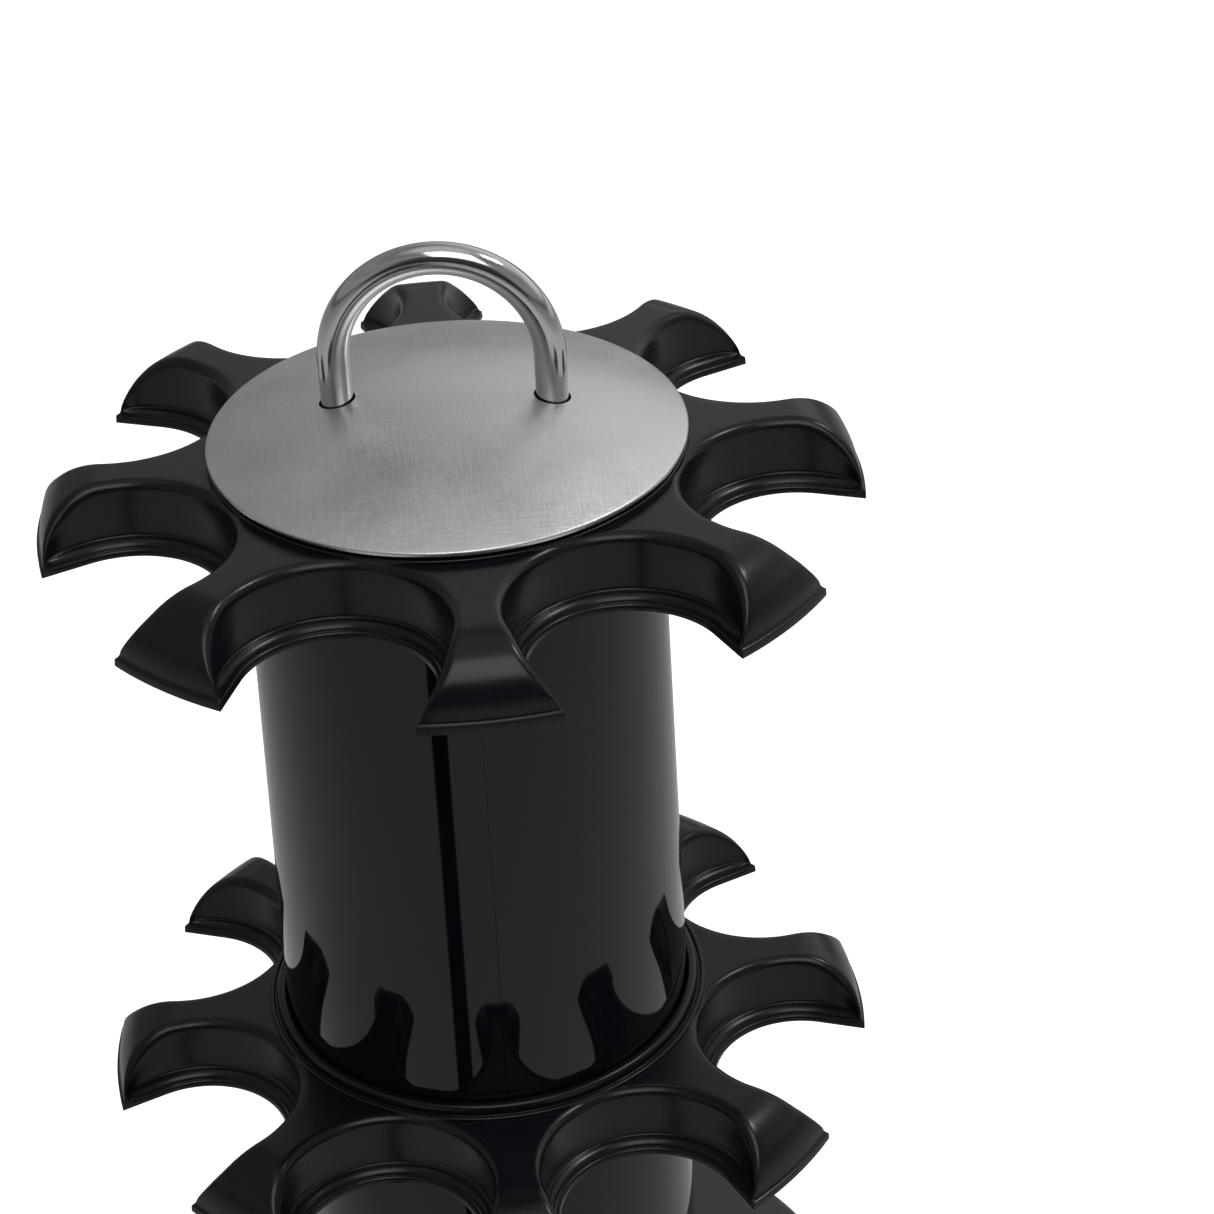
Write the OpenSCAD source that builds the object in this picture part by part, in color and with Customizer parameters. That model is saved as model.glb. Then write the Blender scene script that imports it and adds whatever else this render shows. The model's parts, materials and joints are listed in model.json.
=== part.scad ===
// Spice carousel: two eight-pocket tiers stacked on tapered tubes, turning on a ball ring.
// The frame stands on +Z, with the origin at the middle of the resting plane.

/* [Jars] */
// Radius of the lid that sits in a pocket
lid_r = 23.4; // [20:0.1:29]
// Radius of the neck that hangs through the pocket's lip
neck_r = 19.8; // [16:0.1:20.5]
// Play between a jar and its pocket
jar_play = 0.5; // [0.2:0.1:1]
// Clear height under the lower tier
jar_room = 97.5; // [78:0.5:130]

/* [Tiers] */
// Height from one tier to the next
tier_pitch = 147; // [120:1:180]
// Number of pockets round a tier
pocket_count = 8; // [6:1:8]
// Height from a tier's foot to its flat top
tier_h = 16; // [15:0.5:20]
// How far an arm reaches past the middle of its pockets
mouth_depth = 13.3; // [10:0.1:16]
// Wall of the mouldings
wall = 2.2; // [1.6:0.1:3]
// Radius that rounds an arm's top into its skirt
shoulder_r = 14.4; // [11:0.1:14.9]
// Height of the edge at an arm's foot
foot_edge = 1.9; // [1:0.1:3]
// Radius of the hollow above a pocket's lip
cove_r = 2.5; // [1.5:0.1:3]
// Rounding of a pocket's top edge
edge_r = 2.2; // [1:0.1:2.4]
// Width of the collar round a tube's foot
collar_w = 4.2; // [3.6:0.1:6]
// Height of the collar's crest over the flat top
collar_rise = 2.6; // [2:0.1:4]
// Height of the collar's outer ledge over the flat top
ledge_rise = 0.5; // [0.4:0.1:1]

/* [Tubes] */
// Outer radius of the upper tube at its foot
upper_foot_r = 47.8; // [40:0.1:58]
// How much wider the lower tube's foot is in radius
lower_step = 0.4; // [0:0.1:0.6]
// Taper of both tubes in degrees
tube_draft = 0.82; // [0:0.01:1.2]
// Wall of the tubes
tube_wall = 2; // [1.2:0.1:3]

/* [Cap and handle] */
// Thickness of the cap's sheet
cap_sheet = 1; // [0.6:0.1:1.2]
// Slope of the dome at its rolled edge in degrees
dome_slope = 19.5; // [18:0.5:24]
// Radius of the rolled edge
roll_r = 1.5; // [1.3:0.1:2]
// Diameter of the handle's rod
handle_d = 7; // [5:0.1:9]
// Distance between the handle's legs
leg_spacing = 46.2; // [36:0.1:56]
// Height of the arch's centre line over the tier's foot
arch_rise = 59.4; // [50:0.1:75]
// Angle of the handle from the X axis
handle_turn = -8.6; // [-45:0.1:45]

/* [Base and bearing] */
// Thickness of the rubber feet
pad_h = 5.5; // [4:0.5:8]
// Radius of the turntable
table_r = 90; // [80:1:110]
// Height of the turntable from its skirt to the tube's seat
table_h = 20.5; // [19:0.5:26]
// Rounding of the turntable's edge
table_edge_r = 6; // [4:0.5:6]
// Radius of the bearing balls
ball_r = 2.5; // [2:0.1:3]
// Number of bearing balls
ball_count = 16; // [8:1:20]
// Radius of the ball track
track_r = 54; // [50:1:56]
// Radius of the pivot bolt and of the tie rod
rod_r = 3; // [2.5:0.1:3.5]

/* [Hidden] */
$fn = 96;
dome_steps = 180;
hex = 6;

// Clearances between pieces
run_fit = 0.05;
slip_fit = 0.15;
hole_play = 0.2;
track_gap = 0.02;
thrust_gap = 0.1;
cut = 1;

// Colours
black_plastic = [0.05, 0.05, 0.055];
gloss_black = [0.02, 0.02, 0.025];
brushed = [0.72, 0.72, 0.73];
polished = [0.82, 0.82, 0.82];
zinc = [0.62, 0.63, 0.65];
rubber = [0.1, 0.1, 0.1];
nylon = [0.88, 0.87, 0.83];

// Tier, from the tubes outward
lower_foot_r = upper_foot_r + lower_step;
half_step = 180 / pocket_count;
collar_r = upper_foot_r + collar_w;
pocket_r = lid_r + jar_play;
lip_r = neck_r + jar_play;
ring_gap = 0.8;
pocket_at = collar_r + ring_gap + pocket_r;
tip_r = pocket_at + mouth_depth;
foot_lip = 0.7;
skirt_r = tip_r - foot_lip;
shoulder_at = skirt_r - shoulder_r;
shoulder_z = tier_h - shoulder_r;
web_t = 2.5;
seat_depth = 2;
seat_z = tier_h - seat_depth;
web_z = seat_z - web_t;
spigot_h = 6;
spigot_t = 2.5;
crest_w = 1.9;
crest_round = 0.6;
socket_r = upper_foot_r + hole_play;
valley_w = 1.4;
valley_r = socket_r + valley_w;
hub_wall = 2.6;
edge_relief = 0.05;

// Bearing stack
plate_t = 2.5;
race_t = 2.4;
ball_sink = 1.3;
race_z = pad_h + plate_t;
ball_z = race_z + race_t + ball_r - ball_sink;
upper_race_z = 2 * ball_z - race_z - race_t;
land_z = upper_race_z + race_t;
race_half_w = 7;
groove_r = ball_r + 0.3;
cage_h = 1.2;
cage_half_w = 4;
plate_r = 74;
plate_rim_t = 3;
plate_rim_z = 2.5;
pad_r = 6;
pad_at = 63;
pad_count = 6;

// Turntable
skirt_gap = 1;
skirt_z = race_z + skirt_gap;
table_wall = 2.5;
table_z = skirt_z + table_h;
table_fall = 5.5;
crown_w = 2;
crown_r = lower_foot_r + crown_w;
land_margin = 1.5;
land_in = track_r - race_half_w - land_margin;
land_out = track_r + race_half_w + land_margin;
roof_t = 3.5;
roof_slope = 2;
roof_corner_w = 4;
roof_corner_h = 3;
well_r = 13;
well_floor = 1.8;
well_z = land_z + well_floor;
rib_count = 12;

// Pivot
bush_r = 5;
flange_r = 9;
flange_t = 1.2;
washer_r = 7;
washer_t = 1.2;
nut_r = 5.8;
nut_h = 5;
head_h = 4;
head_sink = 2.5;
bolt_end = 1.2;
plate_hub_r = 14;
plate_hub_z = race_z + race_t;
bolt_head_z = pad_h - head_sink;
pivot_washer_z = well_z + flange_t + thrust_gap;
pivot_nut_z = pivot_washer_z + washer_t;
bolt_top_z = pivot_nut_z + nut_h + bolt_end;

// Column
anchor_r = 38;
anchor_t = 2.5;
screw_r = 2;
screw_head_r = 3.6;
screw_head_h = 2.4;
screw_len = 11;
screw_at = 31;
screw_count = 3;
lower_tier_z = table_z + jar_room;
upper_tier_z = lower_tier_z + tier_pitch;
lower_len = lower_tier_z + web_z - table_z;
upper_len = tier_pitch + web_z - seat_z;
lower_top_r = lower_foot_r - lower_len * tan(tube_draft);
upper_top_r = upper_foot_r - upper_len * tan(tube_draft);

// Cap: the roll sits inside the sphere and touches it at dome_slope
cap_r = collar_r;
roll_at = cap_r - roll_r;
roll_rise = 1.7;
roll_z = upper_tier_z + tier_h + ledge_rise + roll_rise;
dome_r = roll_r + roll_at / sin(dome_slope);
dome_z = roll_z - (dome_r - roll_r) * cos(dome_slope);
dome_top_z = dome_z + dome_r;
rim_gap = 0.15;
leg_hole_play = 0.5;
leg_r = handle_d / 2;
leg_at = leg_spacing / 2;
spring_z = upper_tier_z + arch_rise - leg_at;
liner_t = 1.6;
liner_gap = 2;
liner_r = socket_r - liner_gap;
boss_wall = 2.5;

// Fixings under the cap
top_washer_r = 12;
small_nut_h = 4;
small_washer_t = 0.8;
small_washer_r = 5;
small_nut_r = 4.6;
stud_r = 2.5;
bridge_t = 2;
bridge_w = 14;
bridge_end = 5.5;
clamp_washer_t = 1;
web_top_z = upper_tier_z + seat_z;
clamp_nut_z = web_top_z + clamp_washer_t;
clamp_nut_h = 4.4;
bridge_gap = 0.2;
bridge_z = clamp_nut_z + clamp_nut_h + bridge_gap;
stud_gap = 0.6;
stud_end_z = web_top_z + stud_gap;
bridge_nut_h = 3.2;
rod_end = 0.2;
rod_top_z = bridge_z + bridge_t + bridge_nut_h + rod_end;
rod_gap = 1.5;
rod_bottom_z = bolt_top_z + rod_gap;

// Places its children at every step round the axis
module around(count, radius, first = 0) {
    for (i = [0 : count - 1])
        rotate([0, 0, first + i * 360 / count]) translate([radius, 0, 0]) children();
}

// A flat ring from z up
module ring(outer, inner, z, height) {
    translate([0, 0, z]) difference() {
        cylinder(r = outer, h = height);
        translate([0, 0, -cut]) cylinder(r = inner, h = height + 2 * cut);
    }
}

// A hexagonal nut on the axis, from z up
module hex_nut(radius, bore, z, height) {
    translate([0, 0, z]) difference() {
        cylinder(r = radius, h = height, $fn = hex);
        translate([0, 0, -cut]) cylinder(r = bore, h = height + 2 * cut);
    }
}

// Outline of half a tier: flat top, round shoulder, lipped foot
module tier_outline() {
    square([shoulder_at, tier_h]);
    intersection() {
        translate([shoulder_at, shoulder_z]) circle(r = shoulder_r);
        square([tip_r + cut, tier_h]);
    }
    translate([shoulder_at - cut, 0]) square([tip_r - shoulder_at + cut, foot_edge]);
}

// Outline of the hollow under the arms
module hollow_outline() {
    inner_r = shoulder_r - wall;
    hub = collar_r + ring_gap;
    translate([hub, -cut]) square([shoulder_at - hub, tier_h - wall + cut]);
    intersection() {
        translate([shoulder_at, shoulder_z]) circle(r = inner_r);
        translate([shoulder_at - cut, 0]) square([inner_r + 2 * cut, tier_h]);
    }
    translate([shoulder_at - cut, -cut]) square([inner_r + cut, 2 * cut]);
}

// What a jar's pocket takes out of a tier: lip, mouth, cove, wall and rounded edge
module pocket_cutter() {
    rotate_extrude() {
        translate([0, -cut]) square([lip_r, tier_h + 2 * cut]);
        translate([0, foot_edge]) square([pocket_r - cove_r, tier_h]);
        translate([pocket_r - cove_r, foot_edge + cove_r]) circle(r = cove_r);
        translate([0, foot_edge + cove_r]) square([pocket_r, tier_h]);
        difference() {
            translate([0, tier_h - edge_r - edge_relief]) square([pocket_r + edge_r, tier_h]);
            translate([pocket_r + edge_r, tier_h - edge_r - edge_relief]) circle(r = edge_r);
        }
    }
    translate([0, -lip_r, -cut]) cube([mouth_depth + cut, 2 * lip_r, tier_h + 2 * cut]);
}

// Raised collar that the tube above, or the cap, sits in
module collar() {
    crest_at = collar_r - crest_w;
    rotate_extrude() difference() {
        union() {
            translate([socket_r, web_z]) square([collar_r - socket_r, tier_h + ledge_rise - web_z]);
            translate([socket_r, web_z])
                square([crest_at - socket_r, tier_h + collar_rise - crest_round - web_z]);
            translate([crest_at - crest_round, tier_h + collar_rise - crest_round])
                circle(r = crest_round);
        }
        polygon([[0, tier_h], [socket_r, tier_h], [valley_r, tier_h + collar_rise - crest_round],
            [valley_r, tier_h + collar_rise + cut], [0, tier_h + collar_rise + cut]]);
    }
}

// One tier at its foot's height; spigot_r fits the tube below it
module tier(spigot_r) {
    difference() {
        rotate_extrude() tier_outline();
        around(pocket_count, pocket_at, half_step) pocket_cutter();
        difference() {
            rotate_extrude() hollow_outline();
            around(pocket_count, pocket_at, half_step)
                translate([0, 0, -2 * cut]) cylinder(r = pocket_r + wall, h = tier_h + 4 * cut);
        }
        translate([0, 0, seat_z]) cylinder(r = socket_r, h = tier_h);
        translate([0, 0, -cut]) cylinder(r = collar_r - hub_wall, h = web_z + cut);
        translate([0, 0, web_z - cut]) cylinder(r = rod_r + hole_play, h = web_t + 2 * cut);
    }
    collar();
    ring(spigot_r, spigot_r - spigot_t, web_z - spigot_h, spigot_h + cut);
}

// A tapered tube from z up
module tube(foot_r, top_r, z, length) {
    translate([0, 0, z]) rotate_extrude()
        polygon([[foot_r - tube_wall, 0], [foot_r, 0], [top_r, length], [top_r - tube_wall, length]]);
}

// Ball track: a flat ring with a round groove; up is the side that the balls are on
module race(z, groove_z) {
    rotate_extrude() difference() {
        translate([track_r - race_half_w, z]) square([2 * race_half_w, race_t]);
        translate([track_r, groove_z]) circle(r = groove_r);
    }
}

module foot_plate() color(black_plastic) difference() {
    union() {
        translate([0, 0, pad_h]) cylinder(r = plate_r, h = plate_t);
        ring(plate_r, plate_r - plate_rim_t, plate_rim_z, race_z - plate_rim_z);
        translate([0, 0, plate_rim_z]) cylinder(r = plate_hub_r, h = plate_hub_z - plate_rim_z);
    }
    translate([0, 0, -cut]) cylinder(r = rod_r + run_fit, h = land_z);
    translate([0, 0, plate_rim_z - cut])
        cylinder(r = nut_r + hole_play, h = bolt_head_z + head_h - plate_rim_z + cut, $fn = hex);
}

module rubber_feet() color(rubber) around(pad_count, pad_at) cylinder(r = pad_r, h = pad_h);

module lower_race() color(zinc) race(race_z, ball_z - ball_r - track_gap + groove_r);

module upper_race() color(zinc) race(upper_race_z, ball_z + ball_r + track_gap - groove_r);

module bearing_balls() color(polished)
    around(ball_count, track_r) translate([0, 0, ball_z]) sphere(r = ball_r);

module ball_cage() color(nylon) difference() {
    ring(track_r + cage_half_w, track_r - cage_half_w, ball_z - cage_h / 2, cage_h);
    around(ball_count, track_r) translate([0, 0, ball_z - cut])
        cylinder(r = ball_r + thrust_gap, h = 2 * cut);
}

module pivot_bolt() color(zinc) {
    translate([0, 0, bolt_head_z]) cylinder(r = nut_r, h = head_h, $fn = hex);
    translate([0, 0, bolt_head_z]) cylinder(r = rod_r, h = bolt_top_z - bolt_head_z);
}

module pivot_washer() color(zinc) ring(washer_r, rod_r + run_fit, pivot_washer_z, washer_t);

module pivot_nut() color(zinc) hex_nut(nut_r, rod_r + run_fit, pivot_nut_z, nut_h);

module pivot_bush() color(nylon) {
    ring(flange_r, rod_r + run_fit, well_z, flange_t);
    ring(bush_r, rod_r + run_fit, plate_hub_z + thrust_gap, well_z - plate_hub_z - thrust_gap);
}

// Turntable outline: skirt, round edge, falling crown and flat seat
module table_outline() {
    fall = atan2(table_fall, table_r - table_edge_r - crown_r);
    edge_z = table_z - table_fall - table_edge_r;
    edge_x = table_r - table_edge_r;
    polygon([[0, skirt_z], [table_r, skirt_z], [table_r, edge_z], [edge_x, edge_z],
        [edge_x + table_edge_r * sin(fall), edge_z + table_edge_r * cos(fall)],
        [crown_r, table_z], [0, table_z]]);
    translate([edge_x, edge_z]) circle(r = table_edge_r);
}

module turntable() color(black_plastic) difference() {
    roof_out = table_z - table_fall - roof_t;
    roof_in = table_z - roof_t;
    rim_in = table_r - table_wall;
    union() {
        difference() {
            rotate_extrude() table_outline();
            rotate_extrude() polygon([[land_out, skirt_z - cut], [rim_in, skirt_z - cut],
                [rim_in, roof_out - roof_corner_h], [rim_in - roof_corner_w, roof_out],
                [land_out, roof_in - roof_slope]]);
            ring(land_out + cut, land_in, skirt_z - cut, land_z - skirt_z + cut);
            difference() {
                ring(land_in + cut, well_r + wall, skirt_z - cut, roof_in - skirt_z + cut);
                ring(land_in + 2 * cut, land_in, land_z, table_z);
            }
            translate([0, 0, skirt_z - cut])
                cylinder(r = well_r + wall + cut, h = plate_hub_z + thrust_gap - skirt_z + cut);
        }
        for (i = [0 : rib_count - 1]) rotate([0, 0, i * 360 / rib_count])
            translate([land_out - cut, -wall / 2, land_z])
                cube([rim_in - land_out, wall, roof_out - land_z]);
        ring(lower_foot_r - tube_wall - slip_fit, lower_foot_r - tube_wall - slip_fit - spigot_t,
            table_z - cut, spigot_h + cut);
        around(screw_count, screw_at) translate([0, 0, table_z - screw_len])
            cylinder(r = screw_r + wall, h = screw_len);
    }
    translate([0, 0, well_z]) cylinder(r = well_r, h = table_z);
    translate([0, 0, skirt_z - cut]) cylinder(r = bush_r + run_fit, h = table_z);
    around(screw_count, screw_at) translate([0, 0, table_z - screw_len - cut])
        cylinder(r = screw_r + run_fit, h = screw_len + 2 * cut);
}

module anchor_plate() color(zinc) difference() {
    ring(anchor_r, rod_r + run_fit, table_z, anchor_t);
    around(screw_count, screw_at) translate([0, 0, table_z - cut])
        cylinder(r = screw_r + hole_play, h = anchor_t + 2 * cut);
}

module anchor_screws() color(zinc) around(screw_count, screw_at) {
    translate([0, 0, table_z + anchor_t]) cylinder(r = screw_head_r, h = screw_head_h);
    translate([0, 0, table_z - screw_len]) cylinder(r = screw_r, h = screw_len + anchor_t + cut);
}

module tie_rod() color(zinc)
    translate([0, 0, rod_bottom_z]) cylinder(r = rod_r, h = rod_top_z - rod_bottom_z);

module rod_foot_nut() color(zinc) hex_nut(nut_r, rod_r + run_fit, table_z + anchor_t, nut_h);

module lower_tube() color(gloss_black) tube(lower_foot_r, lower_top_r, table_z, lower_len);

module upper_tube() color(gloss_black)
    tube(upper_foot_r, upper_top_r, lower_tier_z + seat_z, upper_len);

module lower_tier() color(black_plastic)
    translate([0, 0, lower_tier_z]) tier(lower_top_r - tube_wall - slip_fit);

module upper_tier() color(black_plastic)
    translate([0, 0, upper_tier_z]) tier(upper_top_r - tube_wall - slip_fit);

module clamp_washer() color(zinc) ring(top_washer_r, rod_r + run_fit, web_top_z, clamp_washer_t);

module clamp_nut() color(zinc) hex_nut(nut_r, rod_r + run_fit, clamp_nut_z, clamp_nut_h);

// Bores for both legs of the handle
module leg_bores(radius, z, height) {
    rotate([0, 0, handle_turn]) around(2, leg_at) translate([0, 0, z]) cylinder(r = radius, h = height);
}

module handle_bridge() color(zinc) difference() {
    rotate([0, 0, handle_turn]) translate([0, 0, bridge_z]) intersection() {
        translate([-leg_at - bridge_end, -bridge_w / 2, 0])
            cube([2 * (leg_at + bridge_end), bridge_w, bridge_t]);
        cylinder(r = leg_at + bridge_end, h = bridge_t);
    }
    translate([0, 0, bridge_z - cut]) cylinder(r = rod_r + run_fit, h = bridge_t + 2 * cut);
    leg_bores(stud_r + run_fit, bridge_z - cut, bridge_t + 2 * cut);
}

module bridge_nut() color(zinc) hex_nut(nut_r, rod_r + run_fit, bridge_z + bridge_t, bridge_nut_h);

// The part of a sphere's shell that lies within a radius of the axis
module dome_shell(outer, thickness, within) {
    intersection() {
        translate([0, 0, dome_z]) difference() {
            sphere(r = outer, $fn = dome_steps);
            sphere(r = outer - thickness, $fn = dome_steps);
        }
        translate([0, 0, upper_tier_z]) cylinder(r = within, h = dome_top_z - upper_tier_z + cut);
    }
}

module cap() color(brushed) difference() {
    rim_bottom_z = upper_tier_z + tier_h + ledge_rise + rim_gap;
    dome_edge_r = dome_r * sin(dome_slope);
    union() {
        dome_shell(dome_r, cap_sheet, dome_edge_r);
        rotate_extrude() {
            difference() {
                translate([roll_at, roll_z]) circle(r = roll_r);
                translate([roll_at, roll_z]) circle(r = roll_r - cap_sheet);
                translate([0, roll_z - 2 * roll_r]) square([roll_at, 4 * roll_r]);
                translate([0, roll_z - 2 * roll_r]) square([cap_r + cut, 2 * roll_r]);
            }
            translate([cap_r - cap_sheet, rim_bottom_z]) square([cap_sheet, roll_z - rim_bottom_z]);
        }
    }
    leg_bores(leg_r + leg_hole_play, roll_z - cut, dome_r);
}

module cap_liner() color(black_plastic) difference() {
    liner_out = dome_r - cap_sheet - thrust_gap;
    union() {
        dome_shell(liner_out, liner_t, liner_r);
        intersection() {
            translate([0, 0, dome_z]) sphere(r = liner_out - liner_t / 2, $fn = dome_steps);
            union() {
                ring(liner_r, liner_r - liner_t, web_top_z + hole_play, dome_top_z - web_top_z);
                leg_bores(leg_r + boss_wall, bridge_z + bridge_t, dome_top_z - bridge_z);
            }
        }
    }
    leg_bores(leg_r + hole_play, bridge_z, dome_top_z - bridge_z);
}

module handle() color(polished) rotate([0, 0, handle_turn]) {
    translate([0, 0, spring_z]) rotate([90, 0, 0]) rotate_extrude(angle = 180)
        translate([leg_at, 0]) circle(r = leg_r);
    around(2, leg_at) {
        translate([0, 0, bridge_z + bridge_t]) cylinder(r = leg_r, h = spring_z - bridge_z - bridge_t);
        translate([0, 0, stud_end_z]) cylinder(r = stud_r, h = bridge_z + bridge_t + cut - stud_end_z);
    }
}

module handle_washers() color(zinc) rotate([0, 0, handle_turn]) around(2, leg_at)
    ring(small_washer_r, stud_r + run_fit, bridge_z - small_washer_t, small_washer_t);

module handle_nuts() color(zinc) rotate([0, 0, handle_turn]) around(2, leg_at)
    hex_nut(small_nut_r, stud_r + run_fit, bridge_z - small_washer_t - small_nut_h, small_nut_h);

foot_plate();
rubber_feet();
lower_race();
pivot_bolt();
pivot_washer();
pivot_nut();
bearing_balls();
ball_cage();
upper_race();
turntable();
pivot_bush();
anchor_plate();
anchor_screws();
tie_rod();
rod_foot_nut();
lower_tube();
lower_tier();
upper_tube();
upper_tier();
clamp_washer();
clamp_nut();
handle_bridge();
bridge_nut();
cap();
cap_liner();
handle();
handle_washers();
handle_nuts();
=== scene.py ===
"""Looks of the spice carousel: mouldings, gloss tubes, brushed cap, polished handle and the studio.

Sizes in the classes are in millimetres, because the parts were drawn in them, and meshes are made in metres.
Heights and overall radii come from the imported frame.
"""

import json
import logging
import math
from collections.abc import Callable, Iterable, Sequence
from dataclasses import dataclass
from enum import Enum

import bmesh
import bpy
from mathutils import Matrix, Vector


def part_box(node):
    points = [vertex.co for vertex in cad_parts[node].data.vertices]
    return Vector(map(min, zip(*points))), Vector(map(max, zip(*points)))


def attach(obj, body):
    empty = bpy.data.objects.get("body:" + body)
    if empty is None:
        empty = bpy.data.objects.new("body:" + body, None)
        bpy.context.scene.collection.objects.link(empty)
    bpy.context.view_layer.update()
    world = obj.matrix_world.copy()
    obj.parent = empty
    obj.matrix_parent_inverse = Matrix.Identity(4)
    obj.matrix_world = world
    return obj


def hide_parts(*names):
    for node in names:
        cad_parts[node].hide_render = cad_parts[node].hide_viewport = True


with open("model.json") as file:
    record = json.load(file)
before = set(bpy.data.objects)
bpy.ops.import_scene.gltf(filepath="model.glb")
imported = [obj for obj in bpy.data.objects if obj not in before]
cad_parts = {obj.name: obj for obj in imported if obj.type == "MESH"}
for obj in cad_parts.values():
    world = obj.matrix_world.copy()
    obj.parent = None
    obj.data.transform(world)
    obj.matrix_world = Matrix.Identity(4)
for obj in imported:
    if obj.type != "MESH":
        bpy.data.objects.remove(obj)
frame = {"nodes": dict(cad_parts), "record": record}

MM = 0.001
SMOOTH_ANGLE = math.radians(34)
MERGE_WITHIN = 0.002
DEGENERATE_WITHIN = 0.001
GROOVED_BAND = 1.2
CAP_RIM_ABOVE_FOOT = 0.00155
PATCH_SIZE = 18
log = logging.getLogger("spice_carousel")

Point = tuple[float, float]
Colour = tuple[float, float, float]
Axes = tuple[float, float, float]
Socket = bpy.types.NodeSocket
Piece = bpy.types.Object


# ---- finishes


class Grain(Enum):
    """How a finish's surface is worked."""

    MOULDED = "fine spark-eroded grain of a satin moulding"
    GLOSS = "polished moulding with faint ripples"
    CROSS_BRUSHED = "two crossing sets of brush lines"
    DRAWN = "polished steel with faint upright lines"
    ARCHED = "polished rod with faint lines that follow its arch"
    PLATED = "mottled zinc"
    SOFT = "dull skin of rubber or nylon"


@dataclass(frozen=True)
class Finish:
    """One procedural finish.

    Attributes:
        name: Material name.
        slot: Material slot of the record that the finish belongs to.
        grain: How the surface is worked.
        colour: Base colour.
        worn: Colour of the lighter patches and worn edges.
        metallic: 1 for bare metal, 0 for plastic.
        roughness: Middle roughness.
        spread: How far roughness strays from the middle.
        pitch: Spacing of the grain in millimetres.
        depth: Depth of the grain in millimetres.
        specular: Strength of the plain reflection.
    """

    name: str
    slot: str
    grain: Grain
    colour: Colour
    worn: Colour
    metallic: float = 0.0
    roughness: float = 0.4
    spread: float = 0.05
    pitch: float = 0.4
    depth: float = 0.01
    specular: float = 0.5

    def material(self) -> bpy.types.Material:
        """Makes the finish's node material.

        Returns:
            The material, made once and then reused.
        """
        found = bpy.data.materials.get(self.name)
        if found:
            return found
        settings = {"Metallic": self.metallic, "Specular IOR Level": self.specular}
        material, maker, shader = start_material(self.name, settings)
        height = self._grain_height(maker)
        patches = maker.noise(1 / (PATCH_SIZE * MM), detail=3)
        tone = maker.blend(maker.spread(maker.mean(height, patches), 0.5, 0.5), self.colour, self._middle())
        edges = maker.edge_wear()
        maker.link(maker.blend(edges, tone, self.worn), shader.inputs["Base Color"])
        rough = maker.spread(maker.mean(height, patches), self.roughness, self.spread)
        maker.link(rough, shader.inputs["Roughness"])
        maker.link(maker.bump(height, self.depth * MM), shader.inputs["Normal"])
        return material

    def _middle(self) -> Colour:
        """Returns the colour of the patches, a quarter of the way to the worn one."""
        return tuple(a + (b - a) / 4 for a, b in zip(self.colour, self.worn))

    def _grain_height(self, maker: "NodeMaker") -> Socket:
        """Builds the height pattern of the grain.

        Args:
            maker: Node maker of the material's tree.

        Returns:
            A socket with heights from 0 to 1.
        """
        fine = 1 / (self.pitch * MM)
        if self.grain is Grain.CROSS_BRUSHED:
            along_x = maker.noise(1.0, stretch=(fine / 7, fine, fine / 7), detail=2)
            along_y = maker.noise(1.0, stretch=(fine, fine / 7, fine / 7), detail=2)
            return maker.mean(along_x, along_y)
        if self.grain is Grain.DRAWN:
            return maker.noise(1.0, stretch=(fine, fine, fine / 30), detail=3)
        if self.grain is Grain.ARCHED:
            return maker.arch_lines(fine)
        if self.grain is Grain.GLOSS:
            return maker.mean(maker.noise(fine / 60, detail=1), maker.noise(fine, detail=2))
        if self.grain is Grain.PLATED:
            return maker.mean(maker.cells(fine / 3), maker.noise(fine, detail=4))
        return maker.mean(maker.noise(fine, detail=4), maker.cells(fine / 1.7))


@dataclass(frozen=True)
class ArchPlace:
    """Where the handle's arch stands.

    Attributes:
        spacing: Distance between the legs in millimetres.
        radius: Radius of the rod in millimetres.
        turn: Angle from the X axis.
    """

    spacing: float = 46.2
    radius: float = 3.5
    turn: float = math.radians(-8.6)

    @property
    def spring(self) -> float:
        """Height in millimetres at which the arch springs from the legs."""
        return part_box("handle")[1].z / MM - self.spacing / 2 - self.radius


ARCH = ArchPlace()


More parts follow.
